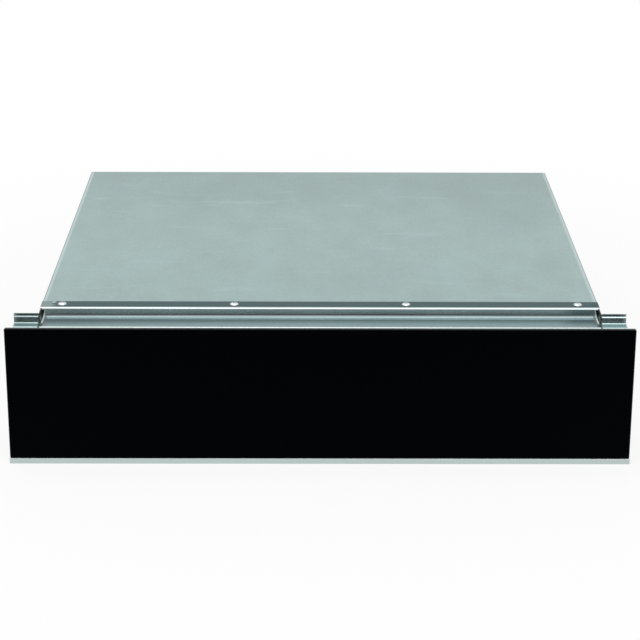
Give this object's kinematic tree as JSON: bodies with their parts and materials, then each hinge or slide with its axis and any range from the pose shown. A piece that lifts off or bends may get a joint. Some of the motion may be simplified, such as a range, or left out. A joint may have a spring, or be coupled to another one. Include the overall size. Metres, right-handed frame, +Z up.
{
  "type": "built in warming drawer",
  "caption": "Low built-in warming drawer: push-to-open steel drawer with a black glass front on telescopic runners in a galvanised casing with mounting wings.",
  "frame": {"origin": "middle of the overall bounding box in X and Y, at the plane of the casing's base", "axes": "+X to the right as seen from the front, +Y from the glass front to the back, +Z up"},
  "size_m": [0.597, 0.548, 0.1433],
  "materials": {
    "galvanised_sheet": "zinc-coated sheet, satin",
    "cover_sheet": "zinc-coated sheet, satin, faintly mottled",
    "bright_zinc_sheet": "bright zinc-coated sheet",
    "screw_steel": "bright zinc-plated",
    "runner_steel": "zinc-plated, cold-rolled",
    "black_glass": "gloss black toughened glass, opaque",
    "stainless_trim": "brushed along its length",
    "stainless_sheet": "satin stainless steel",
    "seal_rubber": "matt silicone",
    "mat_rubber": "matt silicone with raised dots",
    "black_plastic": "fine matt grain",
    "pale_plastic": "fine matt grain",
    "lamp_lens": "clear amber lens",
    "lead_rubber": "matt sheath",
    "fan_metal": "as pressed",
    "heater_sheath": "heat-darkened steel tube"
  },
  "bodies": {
    "casing": {"base_pan": "galvanised_sheet", "left_side_panel": "galvanised_sheet", "right_side_panel": "galvanised_sheet", "rear_panel": "galvanised_sheet", "top_cover": "cover_sheet", "ceiling_liner": "galvanised_sheet", "front_top_rail": "bright_zinc_sheet", "front_bottom_rail": "bright_zinc_sheet", "left_mounting_wing": "bright_zinc_sheet", "right_mounting_wing": "bright_zinc_sheet", "left_front_post": "bright_zinc_sheet", "right_front_post": "bright_zinc_sheet", "rail_screw_1": "screw_steel", "rail_screw_2": "screw_steel", "rail_screw_3": "screw_steel", "rail_screw_4": "screw_steel", "left_runner_casing_member": "runner_steel", "right_runner_casing_member": "runner_steel", "control_panel": "black_plastic", "thermostat_body": "pale_plastic", "power_lamp": "lamp_lens", "control_lead": "lead_rubber", "lead_clip_front": "pale_plastic", "lead_clip_rear": "pale_plastic", "air_baffle": "galvanised_sheet", "fan_motor": "fan_metal", "ring_heater": "heater_sheath", "limit_thermostat": "pale_plastic", "left_ejector_housing": "black_plastic", "right_ejector_housing": "black_plastic", "terminal_box": "pale_plastic", "cable_grommet": "lead_rubber", "latch_housing": "black_plastic"},
    "drawer": {"glass_front": "black_glass", "front_trim": "stainless_trim", "door_shell": "stainless_sheet", "door_seal": "seal_rubber", "drawer_tub": "stainless_sheet", "anti_slip_mat": "mat_rubber", "left_runner_bracket": "stainless_sheet", "right_runner_bracket": "stainless_sheet", "heart_cam": "black_plastic", "door_screw_1": "screw_steel", "door_screw_2": "screw_steel", "door_screw_3": "screw_steel", "door_screw_4": "screw_steel", "left_runner_drawer_member": "runner_steel", "right_runner_drawer_member": "runner_steel"},
    "left_outer_cage": {"left_runner_outer_ball_cage": "runner_steel"},
    "left_middle": {"left_runner_middle_member": "runner_steel"},
    "left_inner_cage": {"left_runner_inner_ball_cage": "runner_steel"},
    "right_outer_cage": {"right_runner_outer_ball_cage": "runner_steel"},
    "right_middle": {"right_runner_middle_member": "runner_steel"},
    "right_inner_cage": {"right_runner_inner_ball_cage": "runner_steel"},
    "knob": {"thermostat_knob": "pale_plastic"},
    "rocker": {"power_rocker": "black_plastic"},
    "fan": {"fan_wheel": "fan_metal"},
    "follower": {"latch_follower": "screw_steel"},
    "left_plunger": {"left_ejector_plunger": "pale_plastic"},
    "right_plunger": {"right_ejector_plunger": "pale_plastic"}
  },
  "joints": [
    {"name": "drawer_slide", "type": "slide", "parent": "casing", "child": "drawer", "axis": [0, -1, 0], "range_m": [-0.003, 0.42]},
    {"name": "left_outer_cage_slide", "type": "slide", "parent": "casing", "child": "left_outer_cage", "axis": [0, -1, 0], "range_m": [-0.00075, 0.105]},
    {"name": "left_middle_slide", "type": "slide", "parent": "casing", "child": "left_middle", "axis": [0, -1, 0], "range_m": [-0.0015, 0.21]},
    {"name": "left_inner_cage_slide", "type": "slide", "parent": "casing", "child": "left_inner_cage", "axis": [0, -1, 0], "range_m": [-0.00225, 0.315]},
    {"name": "right_outer_cage_slide", "type": "slide", "parent": "casing", "child": "right_outer_cage", "axis": [0, -1, 0], "range_m": [-0.00075, 0.105]},
    {"name": "right_middle_slide", "type": "slide", "parent": "casing", "child": "right_middle", "axis": [0, -1, 0], "range_m": [-0.0015, 0.21]},
    {"name": "right_inner_cage_slide", "type": "slide", "parent": "casing", "child": "right_inner_cage", "axis": [0, -1, 0], "range_m": [-0.00225, 0.315]},
    {"name": "thermostat_turn", "type": "hinge", "parent": "casing", "child": "knob", "pos_m": [0.244, -0.242, 0.10435], "axis": [0, 1, 0], "range_deg": [0, 270]},
    {"name": "power_rock", "type": "hinge", "parent": "casing", "child": "rocker", "pos_m": [0.241, -0.2382, 0.07585], "axis": [-1, 0, 0], "range_deg": [0, 12]},
    {"name": "fan_spin", "type": "hinge", "parent": "casing", "child": "fan", "pos_m": [0, 0.2159, 0.07005], "axis": [0, 1, 0], "continuous": true},
    {"name": "follower_swing", "type": "hinge", "parent": "casing", "child": "follower", "pos_m": [0, 0.1319, 0.0107], "axis": [0, 0, 1], "range_deg": [-6, 6]},
    {"name": "left_plunger_press", "type": "slide", "parent": "casing", "child": "left_plunger", "axis": [0, 1, 0], "range_m": [0, 0.008], "stiffness_N_per_m": 60, "springref_m": -0.004},
    {"name": "right_plunger_press", "type": "slide", "parent": "casing", "child": "right_plunger", "axis": [0, 1, 0], "range_m": [0, 0.008], "stiffness_N_per_m": 60, "springref_m": -0.004}
  ],
  "couplings": [
    {"joint": "left_outer_cage_slide", "follows": "drawer_slide", "ratio": 0.25},
    {"joint": "left_middle_slide", "follows": "drawer_slide", "ratio": 0.5},
    {"joint": "left_inner_cage_slide", "follows": "drawer_slide", "ratio": 0.75},
    {"joint": "right_outer_cage_slide", "follows": "drawer_slide", "ratio": 0.25},
    {"joint": "right_middle_slide", "follows": "drawer_slide", "ratio": 0.5},
    {"joint": "right_inner_cage_slide", "follows": "drawer_slide", "ratio": 0.75}
  ]
}
